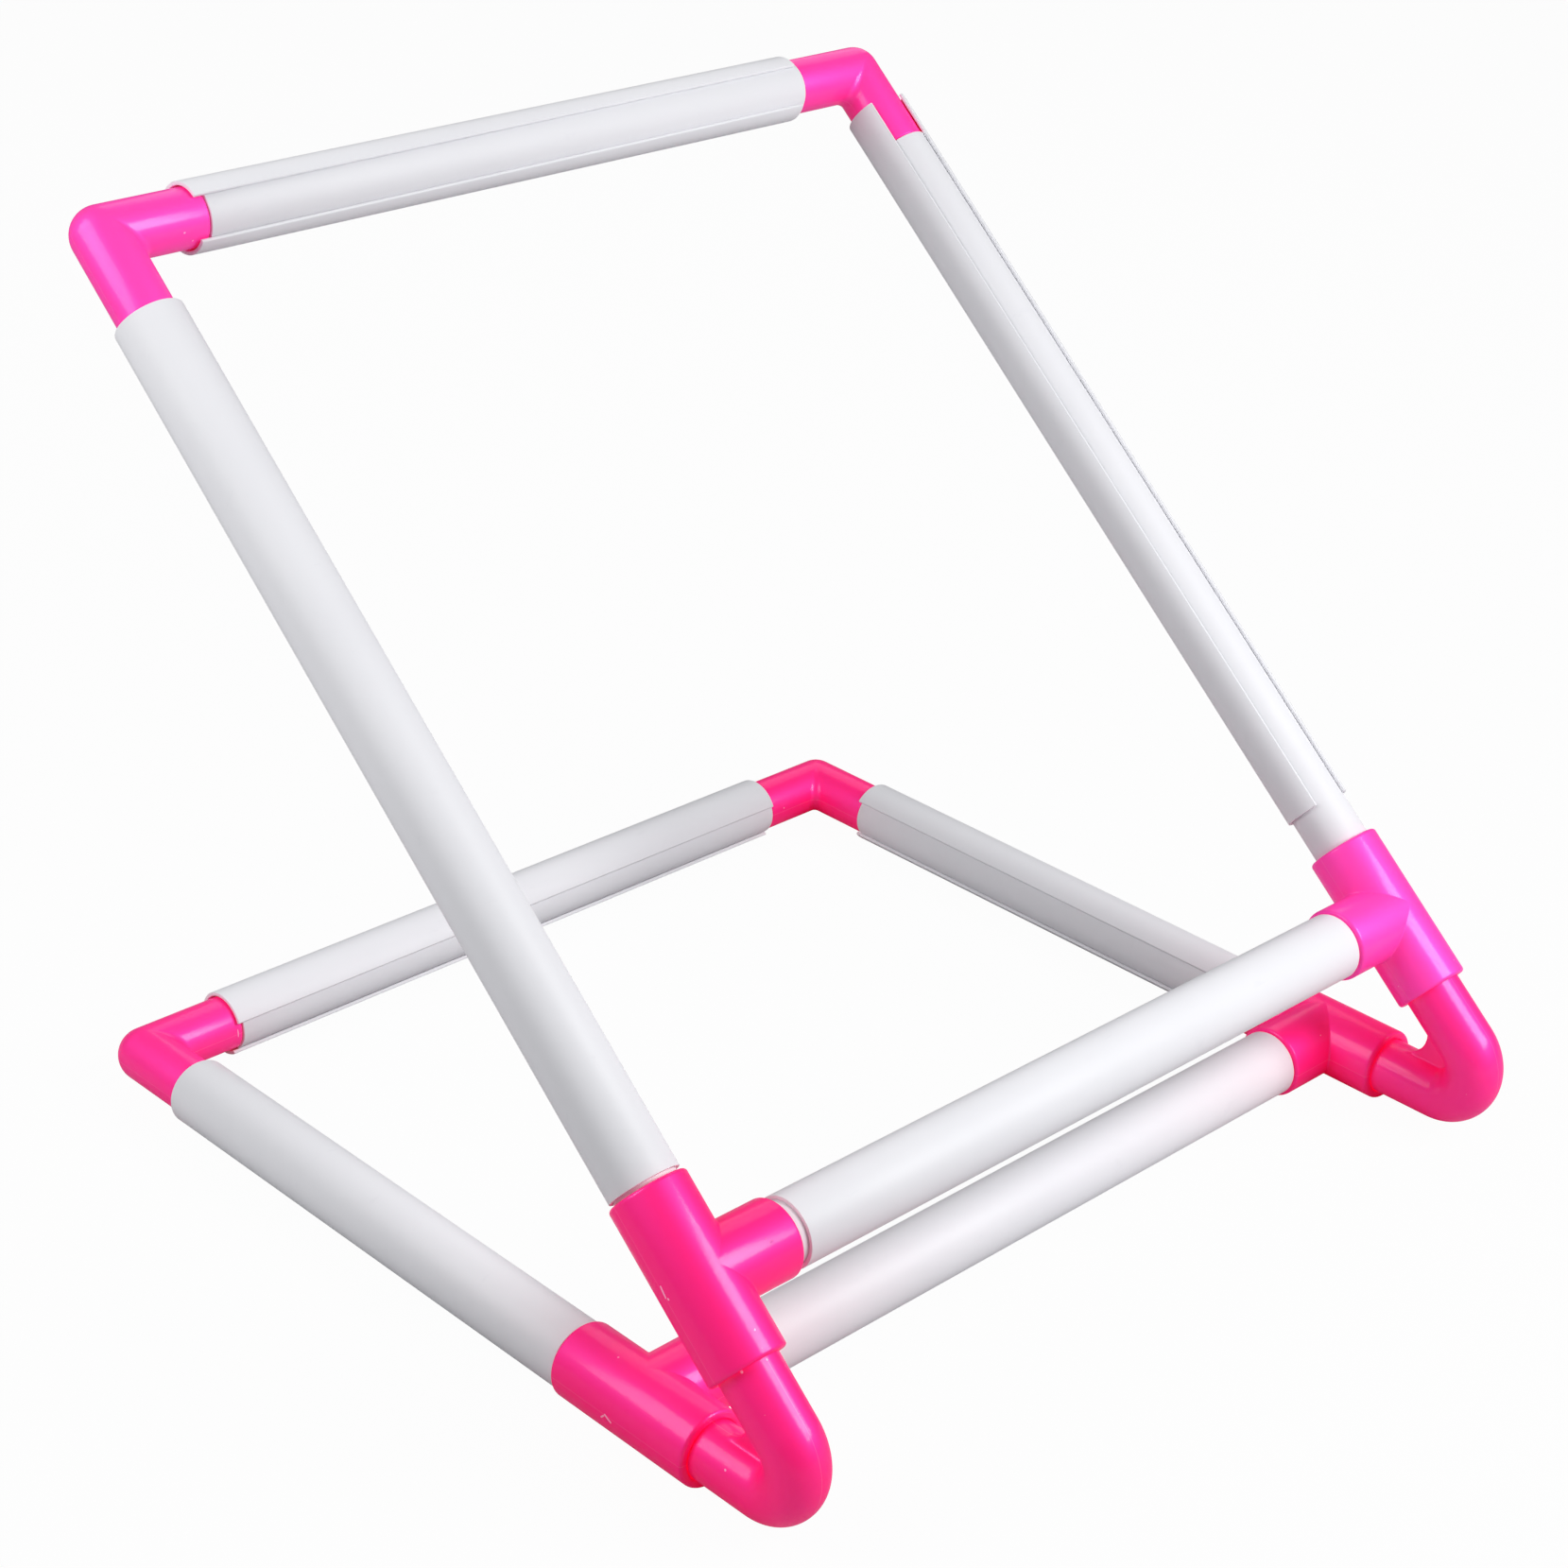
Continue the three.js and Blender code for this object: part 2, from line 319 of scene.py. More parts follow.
@dataclass(frozen=True)
class Clip:
    """A springy C-shaped clip with rounded lips."""

    inner: float = 10.1 * MM
    wall: float = 1.3 * MM
    opening: float = math.radians(76)
    edge: float = 0.22 * MM
    lip_rounding: float = 0.46
    end_facing: float = 0.9
    facets: int = 180
    lip_facets: int = 5
    edge_facets: int = 2
    twist_steps: int = 12

    def build(self, length: float, twist: float) -> bpy.types.Object:
        """Makes a clip along +Y from the origin, with its mouth towards +X.

        Args:
            length: the clip's length.
            twist: how far the clip turns about +Y from its start to its end.

        Returns:
            The clip.
        """
        middle = self.inner + self.wall / 2
        piece = add_ring(middle, self.facets)
        half = self.opening / 2 - math.pi / self.facets
        steps = self.twist_steps if twist else 1
        with editing(piece):
            pick(piece, "VERT", lambda v: abs(math.atan2(v.co.z, v.co.x)) < half)
            bpy.ops.mesh.delete(type="VERT")
            bpy.ops.mesh.select_all(action="SELECT")
            for _ in range(steps):
                push(y=length / steps)
        face_out(piece)
        finish_with(piece, "SOLIDIFY", thickness=self.wall, offset=0, use_even_offset=True)
        self.round_lips(piece)
        self.round_ends(piece)
        if twist:
            self.twist_rings(piece, length, twist)
        smooth(piece)
        return piece

    def round_lips(self, piece: bpy.types.Object) -> None:
        """Rounds the four long edges of the clip's mouth.

        Args:
            piece: the clip, still sharp and not yet twisted.
        """
        rounding = self.lip_rounding * self.wall
        with editing(piece):
            pick(piece, "EDGE", self.is_lip_edge)
            bpy.ops.mesh.bevel(offset=rounding, segments=self.lip_facets, affect="EDGES")

    def is_lip_edge(self, edge: bmesh.types.BMEdge) -> bool:
        """Finds the edges that run along the clip's lips.

        Args:
            edge: an edge of the sharp clip.

        Returns:
            Whether it is one of them.
        """
        first, second = (vertex.co for vertex in edge.verts)
        along = abs(first.x - second.x) < SAME_LINE and abs(first.z - second.z) < SAME_LINE
        flat_step = math.pi / self.facets
        angle = abs(math.atan2(first.z, first.x))
        return along and angle < self.opening / 2 + flat_step

    def round_ends(self, piece: bpy.types.Object) -> None:
        """Takes the sharpness off both cut ends.

        Args:
            piece: the clip, not yet twisted.
        """
        with editing(piece):
            pick(piece, "FACE", lambda face: abs(face.normal.y) > self.end_facing)
            bpy.ops.mesh.region_to_loop()
            bpy.ops.mesh.bevel(offset=self.edge, segments=self.edge_facets, affect="EDGES")

    def twist_rings(self, piece: bpy.types.Object, length: float, twist: float) -> None:
        """Turns each ring of vertices a little further than the last.

        Args:
            piece: the clip.
            length: the clip's length.
            twist: how far the last ring turns.
        """
        for vertex in piece.data.vertices:
            share = vertex.co.y / length
            vertex.co = Matrix.Rotation(twist * share, 3, "Y") @ vertex.co


@dataclass(frozen=True)
class Moulding:
    """What the moulded fittings share: fineness, and the skin of arms that cross."""

    radius: float
    fillet: float
    rim: float
    facets: int = 128
    blend_steps: int = 6
    rim_steps: int = 5
    crease: float = 50.0

    def bar(self, radius: float, start: float, end: float) -> bpy.types.Object:
        """Makes a closed plain bar along Y."""
        return lathed([(radius, start), (radius, end)], self.facets)

    def rounded_rim(self, end: float) -> Profile:
        """Gives an arm's rounded end.

        Args:
            end: the place of the arm's flat face on its axis.

        Returns:
            Pairs of radius and place, from the flat face inwards.
        """
        points = []
        for i in range(self.rim_steps + 1):
            angle = (1 - i / self.rim_steps) * QUARTER_TURN
            radius = self.radius - self.rim * (1 - math.cos(angle))
            points.append((radius, end - self.rim * (1 - math.sin(angle))))
        return points

    def crossing(self, angle: float, share: float, far: FarHalf) -> Vector:
        """Gives a point of an arm's skin where it blends into the next arm.

        The blend is that of a ball rolled along the crease between two equal bars. The arm lies
        along +Y and the next one along +X, and the two skins meet halfway round the ball.

        Args:
            angle: the point's direction round the arm's axis, from +X.
            share: 0 where the blend leaves the arm, and 1 where the two skins meet.
            far: how the half that faces away from +X ends.

        Returns:
            The point.
        """
        across, up = math.cos(angle), math.sin(angle)
        if across >= 0 or far is FarHalf.BLEND:
            ball = (self.radius + self.fillet) * Vector((across, abs(across), up))
            leaving, other = Vector((-across, 0, -up)), Vector((0, -abs(across), -up))
            return ball + self.fillet * leaving.slerp(other, share / 2)
        ring = self.radius * Vector((across, 0, up))
        if far is FarHalf.BALL:
            return Matrix.Rotation(share * QUARTER_TURN / 2, 3, "Z") @ ring
        return ring

    def arm(self, profile: Profile, far: FarHalf) -> bpy.types.Object:
        """Makes an arm's open skin along +Y, from its free end to where it meets the next arm's.

        Args:
            profile: pairs of radius and place from the free end inwards.
            far: how the half that faces away from the next arm ends.

        Returns:
            The skin.
        """
        piece = add_ring(profile[0][0], self.facets, profile[0][1])
        step = 1 * MM
        with editing(piece):
            push_through(profile)
            push(y=-profile[-1][1])
            for _ in range(self.blend_steps):
                push(y=-step)
        # The rings from the origin on become the blend's, and their place below it is their share
        for vertex in piece.data.vertices:
            if vertex.co.y < SAME_LINE:
                share = max(-vertex.co.y / (self.blend_steps * step), 0.0)
                angle = math.atan2(vertex.co.z, vertex.co.x)
                vertex.co = self.crossing(angle, share, far)
        return piece


@dataclass(frozen=True)
class Elbow(Moulding):
    """A corner fitting with two arms and a hollow spigot beyond each shoulder."""

    radius: float = 9.5 * MM
    reach: float = 33 * MM
    fillet: float = 3.4 * MM
    rim: float = 0.6 * MM
    spigot_radius: float = 7.7 * MM
    spigot_length: float = 24 * MM
    spigot_wall: float = 2 * MM
    spigot_chamfer: float = 1.2 * MM
    bore_overlap: float = 0.7

    def build(self) -> bpy.types.Object:
        """Makes an elbow with its corner at the origin.

        Returns:
            The elbow, with its arms along +X and +Y.
        """
        tip = self.reach + self.spigot_length
        profile = [
            (self.spigot_radius - self.spigot_chamfer, tip),
            (self.spigot_radius, tip - self.spigot_chamfer),
            (self.spigot_radius, self.reach),
            *self.rounded_rim(self.reach),
        ]
        arms = [self.arm(profile, FarHalf.BALL) for _ in range(2)]
        arms[1].data.transform(SWAP_X_AND_Y)
        piece = joined(arms)
        face_out(piece, capped=True)
        bore = self.spigot_radius - self.spigot_wall
        past = tip + self.rim
        cut(piece, self.bar(bore, 0, past))
        cut(piece, along_x(self.bar(bore, -bore * self.bore_overlap, past)))
        smooth(piece, self.crease)
        return piece


@dataclass(frozen=True)
class Tee(Moulding):
    """A tee fitting with three sockets, stops and an open passage."""

    radius: float = 12.5 * MM
    run_length: float = 57 * MM
    branch_reach: float = 30 * MM
    stop_offset: float = 9 * MM
    branch_stop: float = 11.5 * MM
    fillet: float = 0.7 * MM
    rim: float = 1.2 * MM
    mouth_chamfer: float = 0.25 * MM
    tube_socket: float = 10.1 * MM
    hairpin_socket: float = 9.8 * MM
    passage: float = 8 * MM

    def socket(self, radius: float, stop: float, mouth: float) -> bpy.types.Object:
        """Makes the tool that cuts a socket along +Y.

        Args:
            radius: the socket's radius.
            stop: where the socket ends inside.
            mouth: where it opens, a little flared.

        Returns:
            The tool.
        """
        past = 1 * MM
        return lathed(
            [
                (radius, stop),
                (radius, mouth - self.mouth_chamfer),
                (radius + self.mouth_chamfer + past, mouth + past),
            ],
            self.facets,
        )

    def build(self) -> bpy.types.Object:
        """Makes a tee with its run along Y and its branch along +X.

        Returns:
            The tee, with the hairpin's socket at -Y.
        """
        half = self.run_length / 2
        back, front = (self.arm(self.rounded_rim(half), FarHalf.THROUGH) for _ in range(2))
        front.data.transform(Matrix.Scale(-1, 4, (0, 1, 0)))
        branch = along_x(self.arm(self.rounded_rim(self.branch_reach), FarHalf.BLEND))
        piece = joined([back, front, branch])
        face_out(piece, capped=True)
        cut(piece, self.socket(self.tube_socket, self.stop_offset, half))
        cut(piece, turned(self.socket(self.hairpin_socket, self.stop_offset, half), math.pi, "X"))
        cut(piece, self.bar(self.passage, -half, half))
        cut(piece, along_x(self.socket(self.tube_socket, self.branch_stop, self.branch_reach)))
        cut(piece, along_x(self.bar(self.passage, 0, self.branch_reach)))
        smooth(piece, self.crease)
        return piece


@dataclass(frozen=True)
class Hairpin:
    """A bent connector, with a web between its arms, that joins a base tee to the upper tee."""

    radius: float = 9.7 * MM
    wall: float = 2.4 * MM
    bend: float = 12.8 * MM
    web_thickness: float = 3 * MM
    web_end: float = 8.8 * MM
    facets: int = 120
    bend_steps: int = 80
    voxel: float = 0.42 * MM
    soften_share: float = 0.5
    soften_rounds: int = 8
    crease: float = 50.0

    def swept(self, radius: float, lead: float, turn: float) -> bpy.types.Object:
        """Makes a closed round bar along +X to the origin, round the bend and on.

        Args:
            radius: the bar's radius.
            lead: the length of each straight arm.
            turn: how far the bend turns, to the left.

        Returns:
            The bar.
        """
        piece = along_x(add_ring(radius, self.facets))
        piece.data.transform(Matrix.Translation((-lead, 0, 0)))
        centre = (0, self.bend, 0)
        with editing(piece):
            push(x=lead)
            bpy.ops.mesh.spin(steps=self.bend_steps, angle=-turn, center=centre, axis=(0, 0, 1))
            push(x=lead * math.cos(turn), y=lead * math.sin(turn))
        face_out(piece, capped=True)
        return piece

    def web(self, turn: float) -> bpy.types.Object:
        """Makes the plate between the arms, from the bend's axis to a hollow arc touching both.

        Args:
            turn: how far the bend turns, to the left.

        Returns:
            The plate.
        """
        offset = self.radius + self.web_end
        back = (offset - self.bend) / math.tan((math.pi - turn) / 2)
        bpy.ops.mesh.primitive_grid_add(x_subdivisions=self.bend_steps, y_subdivisions=1)
        plate = bpy.context.object
        across = max(vertex.co.x for vertex in plate.data.vertices)
        for vertex in plate.data.vertices:
            angle = (vertex.co.x / across + 1) / 2 * turn - QUARTER_TURN
            spoke = Vector((math.cos(angle), math.sin(angle), 0))
            if vertex.co.y > 0:
                vertex.co = Vector((-back, offset, 0)) + self.web_end * spoke
            else:
                vertex.co = Vector((0, self.bend, 0)) + self.bend * spoke
        finish_with(plate, "SOLIDIFY", thickness=self.web_thickness, offset=0)
        return plate

    def build(self, lead: float, turn: float) -> bpy.types.Object:
        """Makes a swept hairpin with its web fused to it and the crease between them softened.

        Args:
            lead: the length of each straight arm.
            turn: how far the bend turns, to the left.

        Returns:
            The hairpin.
        """
        piece = joined([self.swept(self.radius, lead, turn), self.web(turn)])
        finish_with(piece, "REMESH", mode="VOXEL", voxel_size=self.voxel, use_smooth_shade=True)
        finish_with(piece, "SMOOTH", factor=self.soften_share, iterations=self.soften_rounds)
        cut(piece, self.swept(self.radius - self.wall, lead + self.wall, turn))
        smooth(piece, self.crease)
        return piece


# Finishes


class Socket:
    """A shader socket or number that Python's operators turn into Math nodes."""

    def __init__(self, tree: "ShaderTree", link: bpy.types.NodeSocket) -> None:
        """Keeps the tree that the socket belongs to and the socket itself."""
        self.tree = tree
        self.link = link

    def math(self, operation: str, *others: "Socket | float") -> "Socket":
        """Adds a Math node of this socket and others, and returns its result."""
        values = {i: value for i, value in enumerate((self, *others))}
        return self.tree.node("ShaderNodeMath", {"operation": operation}, values)

    def __add__(self, other: "Socket | float") -> "Socket":
        """Adds."""
        return self.math("ADD", other)

    __radd__ = __add__

    def __sub__(self, other: "Socket | float") -> "Socket":
        """Subtracts."""
        return self.math("SUBTRACT", other)

    def __rsub__(self, other: float) -> "Socket":
        """Subtracts from a number."""
        return (self * -1.0) + other

    def __mul__(self, other: "Socket | float") -> "Socket":
        """Multiplies."""
        return self.math("MULTIPLY", other)

    __rmul__ = __mul__

    def clamped(self) -> "Socket":
        """Keeps the value between 0 and 1."""
        return self.math("MINIMUM", 1.0).math("MAXIMUM", 0.0)

    def varied(self, amount: float, middle: float) -> "Socket":
        """Scales a noise by an amount and centres it on a middle."""
        return self * amount + (middle - amount / 2)

    def below(self, limit: float, softness: float) -> "Socket":
        """Gives 1 under a limit, falling to 0 over a soft step above it."""
        return ((self - limit) * (-1.0 / softness) + 1.0).clamped()


class ShaderTree:
    """The node tree of a material or of the world, with one method that adds any node."""

    def __init__(self, owner: bpy.types.Material | bpy.types.World) -> None:
        """Empties the owner's tree."""
        owner.use_nodes = True
        self.owner = owner
        self.nodes = owner.node_tree.nodes
        self.links = owner.node_tree.links
        self.nodes.clear()

    def node(
        self,
        kind: str,
        settings: dict[str, object] | None = None,
        inputs: dict[str | int, object] | None = None,
        output: str | int = 0,
    ) -> Socket:
        """Adds a node.

        Args:
            kind: the node's type.
            settings: the node's own settings, which are set first.
            inputs: values or sockets for its inputs, by name or place.
            output: the output that is wanted.

        Returns:
            That output, wrapped.
        """
        node = self.nodes.new(kind)
        for name, value in (settings or {}).items():
            setattr(node, name, value)
        for place, value in (inputs or {}).items():
            if isinstance(value, Socket):
                self.links.new(value.link, node.inputs[place])
            else:
                node.inputs[place].default_value = value
        return Socket(self, node.outputs[output])

    def place(self) -> Socket:
        """Gives the place in the stand that is shaded."""
        return self.node("ShaderNodeTexCoord", output="Object")

    def noted(self, attribute: str, output: str) -> Socket:
        """Reads what was noted in the mesh under an attribute's name."""
        return self.node("ShaderNodeAttribute", {"attribute_name": attribute}, output=output)

    def mixed(self, factor: Socket, first: Socket | Colour, second: Socket | Colour) -> Socket:
        """Mixes two colours by a factor. A Mix node's colours are its inputs 6 and 7, output 2."""
        inputs = {0: factor, 6: first, 7: second}
        return self.node("ShaderNodeMix", {"data_type": "RGBA"}, inputs, 2)

    def noise(
        self, where: Socket, scale: float = 1.0, detail: float = 2.0, roughness: float = 0.5
    ) -> Socket:
        """Gives a noise between about 0 and 1."""
        inputs = {"Vector": where, "Scale": scale, "Detail": detail, "Roughness": roughness}
        return self.node("ShaderNodeTexNoise", {}, inputs)

    def stretched(self, where: Socket, scale: Triple) -> Socket:
        """Scales a place differently along each axis."""
        inputs = {"Vector": where, "Scale": scale}
        return self.node("ShaderNodeMapping", {"vector_type": "POINT"}, inputs)

    def vector_math(
        self, operation: str, first: Socket, second: Vector | None = None, output: int = 0
    ) -> Socket:
        """Adds a Vector Math node, whose second output is its number."""
        inputs = {0: first} if second is None else {0: first, 1: second}
        return self.node("ShaderNodeVectorMath", {"operation": operation}, inputs, output)

    def bump(self, height: Socket, strength: float) -> Socket:
        """Turns a height into a bent normal."""
        inputs = {"Strength": strength, "Distance": BUMP_DEPTH, "Height": height}
        return self.node("ShaderNodeBump", {}, inputs)

    def seen_directly(self) -> Socket:
        """Gives 1 for the camera's own rays, also through clear things, and 0 for all others."""
        rays = self.nodes.new("ShaderNodeLightPath")
        straight = Socket(self, rays.outputs["Is Camera Ray"])
        return straight.math("MAXIMUM", Socket(self, rays.outputs["Is Transmission Ray"]))

    def surface(self, shader: Socket, output: str = "ShaderNodeOutputMaterial") -> None:
        """Sends a shader to the surface of the tree's output."""
        self.links.new(shader.link, self.nodes.new(output).inputs["Surface"])


MADE_AT = "made_at"
# The mesh attribute that carries each moulding's painted shade
PAINTED_SHADE = "painted_shade_of_pink"
BUMP_DEPTH = 0.1 * MM


@dataclass(frozen=True)
class WhitePlastic:
    """Extruded white plastic with a satin skin, fine streaks along its length and faint scuffs."""

    name: str
    roughness: float
    light: Colour = (0.83, 0.83, 0.86, 1)
    dull: Colour = (0.76, 0.76, 0.80, 1)
    specular: float = 0.4
    streak_scale: Triple = (900, 6, 900)
    streak_height: float = 0.25
    cloud_scale: float = 22.0
    cloud_dullness: float = 0.5
    cloud_roughness: float = 0.10
    grain_scale: float = 1800.0
    grain_height: float = 0.12
    scuff_scale: Triple = (60, 260, 90)
    scuff_limit: float = 0.64
    scuff_edge: float = 0.05
    scuff_dullness: float = 0.2
    scuff_roughness: float = 0.06
    scuff_height: float = 0.05
    bump_strength: float = 0.12

    def material(self) -> bpy.types.Material:
        """Builds the finish's node tree.

        Returns:
            The material.
        """
        tree = ShaderTree(bpy.data.materials.new(self.name))
        place = tree.place()
        made = tree.noted(MADE_AT, "Vector")
        streaks = tree.noise(tree.stretched(made, self.streak_scale), detail=3.0, roughness=0.6)
        clouds = tree.noise(place, self.cloud_scale, 3.0)
        grain = tree.noise(place, self.grain_scale)
        scuffs = tree.noise(tree.stretched(place, self.scuff_scale), detail=5.0, roughness=0.7)
        scuffed = 1.0 - scuffs.below(self.scuff_limit, self.scuff_edge)
        dullness = (clouds * self.cloud_dullness + scuffed * self.scuff_dullness).clamped()
        roughness = clouds.varied(self.cloud_roughness, self.roughness)
        roughness = (roughness + scuffed * self.scuff_roughness).clamped()
        height = streaks * self.streak_height + grain * self.grain_height
        height = height + scuffed * self.scuff_height
        inputs = {
            "Base Color": tree.mixed(dullness, self.light, self.dull),
            "Roughness": roughness,
            "Normal": tree.bump(height, self.bump_strength),
            "Specular IOR Level": self.specular,
        }
        tree.surface(tree.node("ShaderNodeBsdfPrincipled", {}, inputs))
        return tree.owner


@dataclass(frozen=True)
class Nick:
    """A small knock in a moulding's skin, between two places in the stand, in millimetres."""

    start: Triple
    end: Triple
    width: float

    def mask(self, tree: ShaderTree, place: Socket) -> Socket:
        """Gives 1 on the nick and 0 away from it.

        Args:
            tree: the material's tree.
            place: the place that is shaded.

        Returns:
            The mask, from the distance to the line between the nick's ends. It is whole over a
            third of the nick's width to each side and fades over as much again.
        """
        third = self.width * MM / 3
        first, last = Vector(self.start) * MM, Vector(self.end) * MM
        offset = tree.vector_math("SUBTRACT", place, (first + last) / 2)
        along = tree.vector_math("DOT_PRODUCT", offset, (last - first).normalized(), 1)
        length = tree.vector_math("LENGTH", offset, output=1)
        past = (along.math("ABSOLUTE") - (last - first).length / 2).math("MAXIMUM", 0.0)
        distance = (length * length - along * along + past * past).math("SQRT")
        return distance.below(third, third)


def on_any(nicks: tuple[Nick, ...], tree: ShaderTree, place: Socket) -> Socket:
    """Gives 1 on any of some nicks and 0 away from them.

    Args:
        nicks: the nicks.
        tree: the material's tree.
        place: the place that is shaded.

    Returns:
        The mask.
    """
    largest = nicks[0].mask(tree, place)
    for nick in nicks[1:]:
        largest = largest.math("MAXIMUM", nick.mask(tree, place))
    return largest


PALE_NICKS = (
    Nick((-171.5, -115.8, 69.5), (-171.5, -117.9, 67.0), 0.6),
    Nick((-171.5, -118.9, 67.1), (-171.5, -119.1, 67.0), 0.6),
    Nick((-171.5, -93.2, 12.5), (-171.4, -95.6, 11.2), 0.7),
    Nick((-171.4, -91.4, 10.7), (-171.5, -92.6, 11.9), 0.5),
    Nick((-166.1, -143.3, 53.7), (-166.1, -143.5, 53.5), 0.7),
    Nick((-167.1, -139.1, 17.9), (-167.1, -139.3, 17.8), 0.6),
    Nick((-162.0, -164.2, 39.2), (-162.2, -164.8, 38.6), 0.5),
    Nick((-159.4, -141.2, 63.3), (-159.5, -141.3, 63.2), 0.5),
    Nick((-135.5, 144.9, 299.0), (-135.7, 144.9, 299.0), 0.5),
    Nick((-128.0, 148.3, 14.4), (-128.0, 148.3, 11.6), 0.3),
)
DARK_NICKS = (
    Nick((-139.4, -126.6, 75.8), (-140.2, -126.7, 75.6), 0.7),
    Nick((-140.8, -125.5, 76.7), (-141.0, -125.5, 76.6), 0.45),
    Nick((-168.4, -113.8, 20.7), (-168.5, -113.9, 20.6), 0.4),
    Nick((-164.3, -136.0, 20.6), (-164.4, -136.1, 20.5), 0.4),
    Nick((-171.4, -93.7, 10.9), (-171.4, -94.1, 10.7), 0.5),
)


@dataclass(frozen=True)
class PinkPlastic:
    """Moulded hot pink plastic with a satin skin, painted shade that deepens the pink of shaded
    mouldings, a faint parting line, small specks and nicks.

    The dye looks fluorescent, and the glow stands for that: painted red light that lifts the red of
    the shaded sides.
    """

    name: str = "hot_pink_moulding"
    # The light pink is that of lit sides, and the deep pink is painted shade, mixed in on mouldings
    # that lay in shade
    light: Colour = (1.0, 0.068, 0.48, 1)
    painted_shade_pink: Colour = (1.0, 0.0, 0.13, 1)
    fleck: Colour = (1.0, 0.6, 0.78, 1)
    dirt: Colour = (0.22, 0.03, 0.06, 1)
    sheen_tint: Colour = (1.0, 0.13, 0.9, 1)
    # The glow is painted red light, an emission that lifts the red most on shaded sides
    glow: Colour = (1.0, 0.0, 0.01, 1)
    painted_glow_strength: float = 0.23
    ior: float = 2.2
    specular: float = 1.0
    roughness: float = 0.6
    coat: float = 0.46
    coat_roughness: float = 0.17
    scatter_weight: float = 0.2
    scatter_colours: Triple = (1.0, 0.05, 0.15)
    scatter_reach: float = 3 * MM
    cloud_scale: float = 35.0
    cloud_depth: float = 0.12
    cloud_roughness: float = 0.08
    grain_scale: float = 1500.0
    grain_coat: float = 0.8
    grain_height: float = 0.16
    parting_half: float = 0.08 * MM
    parting_edge: float = 0.12 * MM
    # The parting line's paleness is partly painted highlight, the light its ridge catches, and the
    # ridge itself is a bump
    parting_highlight_paleness: float = 0.1
    parting_height: float = 0.6
    fleck_scale: float = 210.0
    fleck_limit: float = 0.05
    fleck_edge: float = 0.03
    fleck_patch_scale: float = 130.0
    fleck_patch_limit: float = 0.62
    fleck_patch_edge: float = 0.02
    fleck_paleness: float = 0.6
    fleck_roughness: float = 0.2
    fleck_height: float = 0.5
    nick_height: float = 0.8
    bump_strength: float = 0.2

    def flecks(self, tree: ShaderTree, place: Socket) -> Socket:
        """Gives 1 on small specks, which lie in scattered patches, and 0 away from them.

        Args:
            tree: the material's tree.
            place: the place that is shaded.

        Returns:
            The mask.
        """
        cells = {"Vector": place, "Scale": self.fleck_scale}
        specks = tree.node("ShaderNodeTexVoronoi", {}, cells)
        patches = tree.noise(place, self.fleck_patch_scale, 1.0)
        outside = patches.below(self.fleck_patch_limit, self.fleck_patch_edge)
        return specks.below(self.fleck_limit, self.fleck_edge) * (1.0 - outside)

    def material(self) -> bpy.types.Material:
        """Builds the finish's node tree.

        Returns:
            The material.
        """
        tree = ShaderTree(bpy.data.materials.new(self.name))
        place = tree.place()
        made = tree.noted(MADE_AT, "Vector")
        above = tree.node("ShaderNodeSeparateXYZ", {}, {0: made}, "Z").math("ABSOLUTE")
        parting = above.below(self.parting_half, self.parting_edge)
        clouds = tree.noise(place, self.cloud_scale, 3.0)
        grain = tree.noise(place, self.grain_scale, roughness=0.6)
        flecks = self.flecks(tree, place)
        pale, dark = on_any(PALE_NICKS, tree, place), on_any(DARK_NICKS, tree, place)
        # Painted shade: each moulding's noted shade, with a random cloudy tone on top, mixes the
        # light pink towards the deep pink
        depth = tree.noted(PAINTED_SHADE, "Fac") + clouds.varied(self.cloud_depth, 0.0)
        colour = tree.mixed(depth.clamped(), self.light, self.painted_shade_pink)
        # Pale specks, nicks and the parting line, whose paleness is partly painted highlight
        paleness = flecks * self.fleck_paleness + parting * self.parting_highlight_paleness + pale
        colour = tree.mixed(paleness.clamped(), colour, self.fleck)
        roughness = clouds.varied(self.cloud_roughness, self.roughness)
        height = grain * self.grain_height + parting * self.parting_height
        height = height + flecks * self.fleck_height + pale * self.nick_height
        inputs = {
            "Base Color": tree.mixed(dark, colour, self.dirt),
            "Roughness": (roughness + flecks * self.fleck_roughness).clamped(),
            "Normal": tree.bump(height, self.bump_strength),
            "IOR": self.ior,
            "Specular IOR Level": self.specular,
            "Specular Tint": self.sheen_tint,
            "Coat Weight": grain.varied(self.grain_coat, self.coat).clamped() * (1.0 - dark),
            "Coat Roughness": self.coat_roughness,
            "Emission Color": self.glow,
            "Emission Strength": self.painted_glow_strength,
            "Subsurface Weight": self.scatter_weight,
            "Subsurface Radius": self.scatter_colours,
            "Subsurface Scale": self.scatter_reach,
        }
        tree.surface(tree.node("ShaderNodeBsdfPrincipled", {}, inputs))
        return tree.owner


FINISHES = {
    Slot.TUBE: WhitePlastic("white_tube_plastic", 0.56),
    Slot.CLIP: WhitePlastic("white_clip_plastic", 0.52, (0.86, 0.86, 0.89, 1)),
    Slot.FITTING: PinkPlastic(),
}


# Assembly


@dataclass(frozen=True)
class ClipSeat:
    """Where a clip sits between its end fittings, and how it is turned.

    A gap leaves tube bare, and a negative one laps over the fitting. The mouth is the direction
    that the opening faces, in degrees, and the twist is how far it turns along the clip.
    """

    start_gap: float
    end_gap: float
    mouth: float
    twist: float = 0.0


